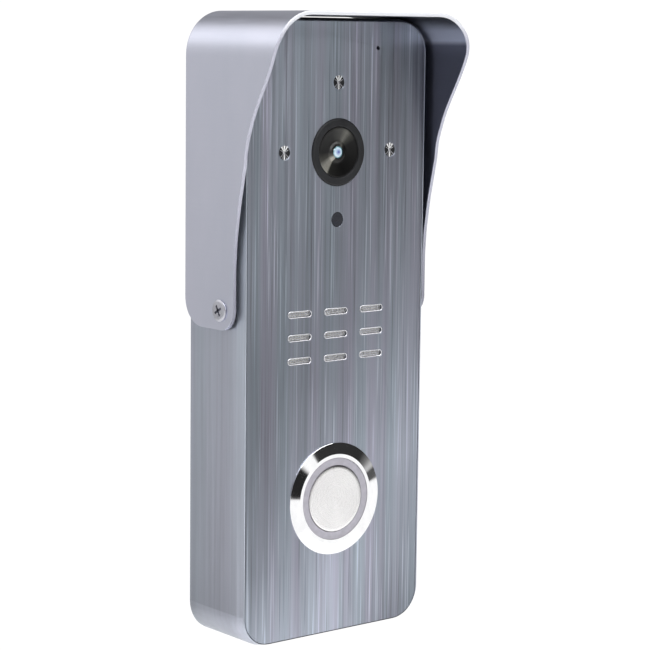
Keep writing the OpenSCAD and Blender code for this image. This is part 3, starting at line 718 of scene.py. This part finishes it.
def sheet_hood():
    """The rain hood as one bent sheet with softened cut edges and a hole in each leg."""
    t, r, top, low, rear, edge = 0.8, 8.6, 62.6, 1.5, -0.2, 0.1
    foot, heel = 4, 5.5

    def ends(z):
        """Where the sheet starts and ends along Y at height z."""
        front = FRONT - reach(z)
        if z < low + foot:
            front += foot - math.sqrt(max(0, foot ** 2 - (low + foot - z) ** 2))
        back = rear
        if z < low + heel:
            back -= heel - math.sqrt(max(0, heel ** 2 - (low + heel - z) ** 2))
        return front, back

    path = []
    for k in range(13):
        path.append((-HOOD_HALF, low + foot * (1 - math.cos(math.pi / 2 * k / 12)), -1, 0))
    for k in range(1, 49):
        path.append((-HOOD_HALF, low + foot + (top - r - low - foot) * k / 48, -1, 0))
    for k in range(1, 25):
        a = math.pi / 2 * k / 24
        path.append((-HOOD_HALF + r - r * math.cos(a), top - r + r * math.sin(a),
                     -math.cos(a), math.sin(a)))
    path += [(x, top, 0, 1) for x in range(-14, 1, 2)]
    path += [(-x, z, -nx, nz) for x, z, nx, nz in reversed(path[:-1])]
    # Round the sheet: place along Y from an end (True is the front), and depth from the outside
    around = [(True, edge, 0), (True, 3 * edge, 0), (False, 3 * edge, 0), (False, edge, 0),
              (False, edge * 0.3, edge * 0.3), (False, 0, edge), (False, 0, t - edge),
              (False, edge * 0.3, t - edge * 0.3), (False, edge, t), (False, 3 * edge, t),
              (True, 3 * edge, t), (True, edge, t), (True, edge * 0.3, t - edge * 0.3), (True, 0, t - edge),
              (True, 0, edge), (True, edge * 0.3, edge * 0.3)]
    bm = bmesh.new()
    loops = []
    for x, z, nx, nz in path:
        loop = []
        for at_front, inset, depth in around:
            pz = z - nz * depth
            front, back = ends(pz)
            y = front + inset if at_front else back - inset
            loop.append(bm.verts.new(((x - nx * depth) * MM, y * MM, pz * MM)))
        loops.append(loop)
    count = len(around)
    for a, b in zip(loops, loops[1:]):
        for k in range(count):
            n = (k + 1) % count
            bm.faces.new((a[k], a[n], b[n], b[k]))
    bm.faces.new(loops[0])
    bm.faces.new(list(reversed(loops[-1])))
    obj = piece("sheet_hood", finish_mesh(bm, "sheet_hood", 35), "hood_sheet", "hood", "rain_hood")
    holes = bmesh.new()
    for side in (-1, 1):
        place = Matrix.Translation((side * HOOD_HALF * MM, PIVOT_Y * MM, PIVOT_Z * MM))
        bmesh.ops.create_cone(holes, cap_ends=True, segments=48, radius1=1.3 * MM, radius2=1.3 * MM,
                              depth=4 * MM, matrix=place @ Matrix.Rotation(math.radians(90), 4, "Y"))
    cut(obj, holes)


def slot_felt():
    """A pale felt sheet behind the weave."""
    bm = bmesh.new()
    cells, rows = 60, 32
    sheet = []
    for y, dy in ((FRONT + 0.98, 0.02), (FRONT + 1.2, 0.0)):
        grid = []
        for j in range(rows + 1):
            line = []
            for i in range(cells + 1):
                x, z = 24.4 * (i / cells - 0.5), 12.9 * (j / rows - 0.5)
                line.append(bm.verts.new((x * MM, (y + dy * math.sin(i * 2.1) * math.cos(j * 1.7)) * MM,
                                          (SLOT_Z + z) * MM)))
            grid.append(line)
        sheet.append(grid)
    for grid in sheet:
        for j in range(rows):
            for i in range(cells):
                bm.faces.new((grid[j][i], grid[j][i + 1], grid[j + 1][i + 1], grid[j + 1][i]))
    front, back = sheet
    loop = ([(0, i) for i in range(cells)] + [(j, cells) for j in range(rows)]
            + [(rows, i) for i in range(cells, 0, -1)] + [(j, 0) for j in range(rows, 0, -1)])
    for (j, i), (q, p) in zip(loop, loop[1:] + loop[:1]):
        bm.faces.new((front[j][i], front[q][p], back[q][p], back[j][i]))
    piece("slot_felt", finish_mesh(bm, "slot_felt"), "white_nylon", "station")


def slot_rims():
    """A fine bright bead in the step round each slot."""
    length, height, inset, bead = 5.7, 1.2, 0.03, 0.075
    half, r = (length - height) / 2, height / 2 + inset
    bm = bmesh.new()
    for i in (-1, 0, 1):
        for j in (-1, 0, 1):
            rows = []
            for k in range(32):
                a = 2 * math.pi * k / 32
                side = 1 if math.cos(a) > 1e-9 else -1
                out = Vector((math.cos(a), 0, math.sin(a)))
                base = Vector((i * 9.1 + side * half, FRONT + 0.08, SLOT_Z + j * 4.6)) + out * r
                rows.append([bm.verts.new((base + out * bead * c + Vector((0, -bead * s, 0))) * MM)
                             for c, s in ((1, -0.6), (0.8, 0.6), (0, 1), (-0.8, 0.6), (-1, -0.6))])
            for k in range(32):
                a, b = rows[k], rows[(k + 1) % 32]
                for n in range(5):
                    m = (n + 1) % 5
                    bm.faces.new((a[n], a[m], b[m], b[n]))
    piece("slot_rims", finish_mesh(bm, "slot_rims", 60), "steel_mesh", "station")


def tube(bm, path, radius, side):
    """A square-section wire, smooth shaded, along a path in mm."""
    side = Vector(side)
    rows = []
    for i, p in enumerate(path):
        ahead = Vector(path[min(i + 1, len(path) - 1)]) - Vector(path[max(i - 1, 0)])
        up = ahead.normalized().cross(side)
        rows.append([bm.verts.new((Vector(p) + radius * (side * c + up * s)) * MM)
                     for c, s in ((1, 0), (0, 1), (-1, 0), (0, -1))])
    for a, b in zip(rows, rows[1:]):
        for k in range(4):
            bm.faces.new((a[k], a[(k + 1) % 4], b[(k + 1) % 4], b[k]))
    bm.faces.new(rows[0])
    bm.faces.new(list(reversed(rows[-1])))


def push_button():
    """The threaded bezel, the lit ring and the cap that moves."""
    top = FRONT - 0.5
    thread, pitch = [], 0.4
    y = -16.6
    while y < -9.2:
        thread += [(9.4, y), (9.18, y + pitch / 2)]
        y += pitch
    bezel = ([(8.31, top), (9.04, top), (9.12, top + 0.01), (11.27, FRONT - 0.235), (11.3, FRONT - 0.21),
              (11.3, FRONT), (10.8, FRONT),
              (10.8, FRONT - 0.15), (9.9, FRONT - 0.15), (9.9, FRONT), (9.4, FRONT)] + thread
             + [(9.2, -8.6), (8.31, -8.6)])
    turned("bezel_ring", bezel, 0, BUTTON_Z, "chrome_bezel", "station", "button_bezel", angle=3, steps=180)
    turned("ring_light", [(6.78, top + 0.2), (6.8, top + 0.1), (6.86, top + 0.08), (8.16, top + 0.08),
                          (8.26, top + 0.11), (8.29, top + 0.25), (8.29, FRONT + 3), (6.78, FRONT + 3)],
           0, BUTTON_Z, "lit_ring", "station", "button_light_ring", steps=180, angle=40)
    cap = top + 0.05
    disc = [(0, cap + 0.01), (6.0, cap), (6.54, cap + 0.005), (6.62, cap + 0.03), (6.65, cap + 0.12),
            (6.65, cap + 2.3), (5.65, cap + 2.3), (5.65, cap + 1.4), (1.5, cap + 1.4), (1.5, -9.4),
            (0, -9.4)]
    turned("cap_disc", disc, 0, BUTTON_Z, "cap_steel", "button", "button_cap", steps=180)


def hood_screws():
    """Pan heads with a cross recess, and their shanks."""
    for s, side in ((-1, "left"), (1, "right")):
        bm = bmesh.new()
        head = [(0, 0.5), (1.0, 0.49), (1.62, 0.44), (1.95, 0.35), (2.12, 0.22), (2.14, 0.14), (2.0, 0.0),
                (1.23, 0.0), (1.23, -4.9), (0.9, -5.2), (0, -5.2)]
        turned_into(bm, head, 0, 0, 64)
        out = Matrix.Rotation(math.radians(-90 if s > 0 else 90), 4, "Z")
        place = Matrix.Translation((s * (HOOD_HALF + 0.03) * MM, PIVOT_Y * MM, PIVOT_Z * MM))
        bm.transform(place @ out)
        obj = piece("hood_screw_" + side, finish_mesh(bm, "hood_screw_" + side), "screw_steel", "station",
                    "hood_screws")
        for a in (-30, 60):
            cutter = bmesh.new()
            turn = Matrix.Rotation(math.radians(a), 4, "X")
            box_into(cutter, (s * (HOOD_HALF + 0.45), PIVOT_Y, PIVOT_Z), (1.6, 0.5, 2.3), turn)
            cut(obj, cutter)


# Width in mm of the round on each node's worked edges
BEVELS = {"housing": 0.12, "front_plate": 0.06, "rear_cover": 0.12, "wall_bracket": 0.12,
          "rear_cover_screws": 0.05, "lock_screw": 0.08, "cable_grommet": 0.2, "light_sensor_window": 0.08}


def dress_cad():
    """Every CAD node that shows gets its slot's material, and worked edges get a fine round."""
    slots = {part["node"]: part["material_slot"] for part in RECORD["subparts"]}
    for name, obj in NODES.items():
        obj.data.materials.clear()
        obj.data.materials.append(material(slots[name]))
        if name in BEVELS:
            weld = obj.modifiers.new("weld", "WELD")
            weld.merge_threshold = 1e-6
            bevel = obj.modifiers.new("edge", "BEVEL")
            bevel.width = BEVELS[name] * MM
            bevel.segments = 2
            bevel.limit_method = "ANGLE"
            bevel.angle_limit = math.radians(40)
            bevel.harden_normals = True


# ---- studio ----

def floor():
    """A pale round floor below the station."""
    bm = bmesh.new()
    bmesh.ops.create_circle(bm, cap_ends=True, segments=96, radius=1.6)
    mesh = bpy.data.meshes.new("floor")
    bm.to_mesh(mesh)
    bm.free()
    obj = bpy.data.objects.new("floor", mesh)
    obj.location = (0, 0, -0.6)
    bpy.context.scene.collection.objects.link(obj)
    m = Mat("pale_floor", (0.93, 0.93, 0.93), 0.0, 0.9)
    cloud = m.noise(m.coords(), 3, 2, 0.5)
    m.colour(m.ramp(cloud, (0.3, 0.92), (0.7, 0.94)))
    mesh.materials.append(m.material)


def softbox(name, place, aim, size, power):
    """A rectangular light that the camera doesn't see."""
    data = bpy.data.lights.new(name, "AREA")
    data.shape = "RECTANGLE"
    data.size, data.size_y = size
    data.energy = power
    obj = bpy.data.objects.new(name, data)
    obj.location = place
    obj.rotation_euler = (Vector(aim) - Vector(place)).to_track_quat("-Z", "Y").to_euler()
    obj.visible_camera = False
    bpy.context.scene.collection.objects.link(obj)


def world():
    """A soft studio for reflections, bright towards the floor and dim in front above the horizon.

    The polished bezel shows single parts of it: a dark strip, a step in the horizon and a grey patch.
    The camera sees plain white.
    """
    made_world = bpy.data.worlds.new("studio")
    bpy.context.scene.world = made_world
    made_world.use_nodes = True
    tree = made_world.node_tree
    tree.nodes.clear()

    def node(kind, **values):
        n = tree.nodes.new(kind)
        for key, value in values.items():
            setattr(n, key, value)
        return n

    def math_of(operation, a, b):
        n = node("ShaderNodeMath", operation=operation)
        tree.links.new(a, n.inputs[0])
        tree.links.new(b, n.inputs[1])
        return n.outputs[0]

    def blend(fac, a, b):
        n = node("ShaderNodeMix", data_type="RGBA")
        tree.links.new(fac, n.inputs[0])
        tree.links.new(a, n.inputs[6])
        if hasattr(b, "__len__"):
            n.inputs[7].default_value = b
        else:
            tree.links.new(b, n.inputs[7])
        return n.outputs[2]

    def ramp(source, *stops, limit=1):
        """Grey values at places of source between -limit and limit."""
        span = node("ShaderNodeMapRange")
        span.inputs[1].default_value, span.inputs[2].default_value = -limit, limit
        tree.links.new(source, span.inputs[0])
        n = node("ShaderNodeValToRGB")
        e = n.color_ramp.elements
        while len(e) < len(stops):
            e.new(0.5)
        for i, (place, value) in enumerate(stops):
            e[i].position = (place + limit) / (2 * limit)
            e[i].color = (value, value, value, 1)
        tree.links.new(span.outputs[0], n.inputs[0])
        return n.outputs[0]

    tex = node("ShaderNodeTexCoord")
    axes = node("ShaderNodeSeparateXYZ")
    tree.links.new(tex.outputs["Generated"], axes.inputs[0])
    x, y, z = axes.outputs
    ratio = math_of("DIVIDE", x, y)

    # In front: a horizon in two heights, with a dark strip below it and a grey patch beside it
    high, low = [ramp(z, (-1, 1.0), (-0.5, 1.1), (bright, 1.1), (dark, 0.03), (0.1, 0.04), (0.7, 0.06),
                      (1.0, 0.6)) for bright, dark in ((-0.014, 0.002), (-0.064, -0.057))]
    horizon = blend(ramp(ratio, (-0.61, 0.0), (-0.595, 1.0), limit=2), low, high)
    strip_x = ramp(ratio, (-0.56, 0.0), (-0.545, 1.0), (-0.3, 1.0), (-0.28, 0.0), limit=2)
    strip_z = ramp(z, (-0.195, 0.0), (-0.187, 1.0), (-0.075, 1.0), (-0.065, 0.0))
    masked = blend(math_of("MULTIPLY", strip_x, strip_z), horizon, (0.02, 0.02, 0.02, 1))
    aside = ramp(z, (-1, 1.0), (-0.5, 1.1), (-0.165, 1.1), (-0.158, 0.11), (-0.122, 0.09), (-0.116, 0.6),
                 (-0.108, 0.56), (-0.09, 0.22), (-0.062, 0.03), (0.7, 0.05))
    beside = ramp(ratio, (-0.97, 1.0), (-0.93, 0.0), limit=2)
    front = blend(beside, masked, aside)

    left = ramp(z, (-1, 0.7), (-0.3, 0.4), (-0.15, 0.5), (0.0, 0.7), (0.26, 0.66), (0.345, 1.4),
                (0.68, 1.4), (0.8, 0.5), (1.0, 0.3))
    right = ramp(z, (-1, 0.9), (-0.1, 0.5), (0.0, 0.3), (0.3, 0.18), (1.0, 0.25))
    back = blend(ramp(x, (-0.22, 0.0), (0.02, 1.0)), left, right)

    studio = node("ShaderNodeBackground")
    tree.links.new(blend(ramp(y, (-0.35, 0.0), (0.35, 1.0)), front, back), studio.inputs[0])
    plain = node("ShaderNodeBackground")
    plain.inputs[0].default_value = (1, 1, 1, 1)
    plain.inputs[1].default_value = 1.05
    seen = node("ShaderNodeLightPath")
    choose = node("ShaderNodeMixShader")
    out = node("ShaderNodeOutputWorld")
    tree.links.new(seen.outputs["Is Camera Ray"], choose.inputs[0])
    tree.links.new(studio.outputs[0], choose.inputs[1])
    tree.links.new(plain.outputs[0], choose.inputs[2])
    tree.links.new(choose.outputs[0], out.inputs[0])


def lights():
    """A broad light above and a small one from the front left."""
    softbox("overhead", (0.1, -0.7, 1.7), (0, 0, 0), (2.2, 1.8), 75)
    softbox("front_key", (-0.35, -1.6, 0.75), (0, 0, 0), (0.55, 0.45), 9)


def camera():
    """The photograph's viewpoint: from the front left, a little above."""
    yaw, pitch, roll = math.radians(39.07), math.radians(-7.65), math.radians(0.67)
    forward = Vector((math.sin(yaw) * math.cos(pitch), math.cos(yaw) * math.cos(pitch), math.sin(pitch)))
    level = Vector((math.cos(yaw), -math.sin(yaw), 0))
    upright = level.cross(forward)
    right = level * math.cos(roll) + upright * math.sin(roll)
    up = right.cross(forward)
    data = bpy.data.cameras.new("camera")
    data.lens, data.sensor_width = 118.8, 36
    data.clip_start = 0.01
    obj = bpy.data.objects.new("camera", data)
    turn = Matrix((right, up, -forward)).transposed().to_4x4()
    obj.matrix_world = Matrix.Translation((-0.266788, -0.342452, 0.057742)) @ turn
    bpy.context.scene.collection.objects.link(obj)
    bpy.context.scene.camera = obj


dress_cad()
lens()
lamps()
speaker_cloth()
slot_felt()
slot_rims()
push_button()
sheet_hood()
hood_screws()
floor()
world()
lights()
camera()
bpy.context.scene.view_settings.view_transform = "Standard"
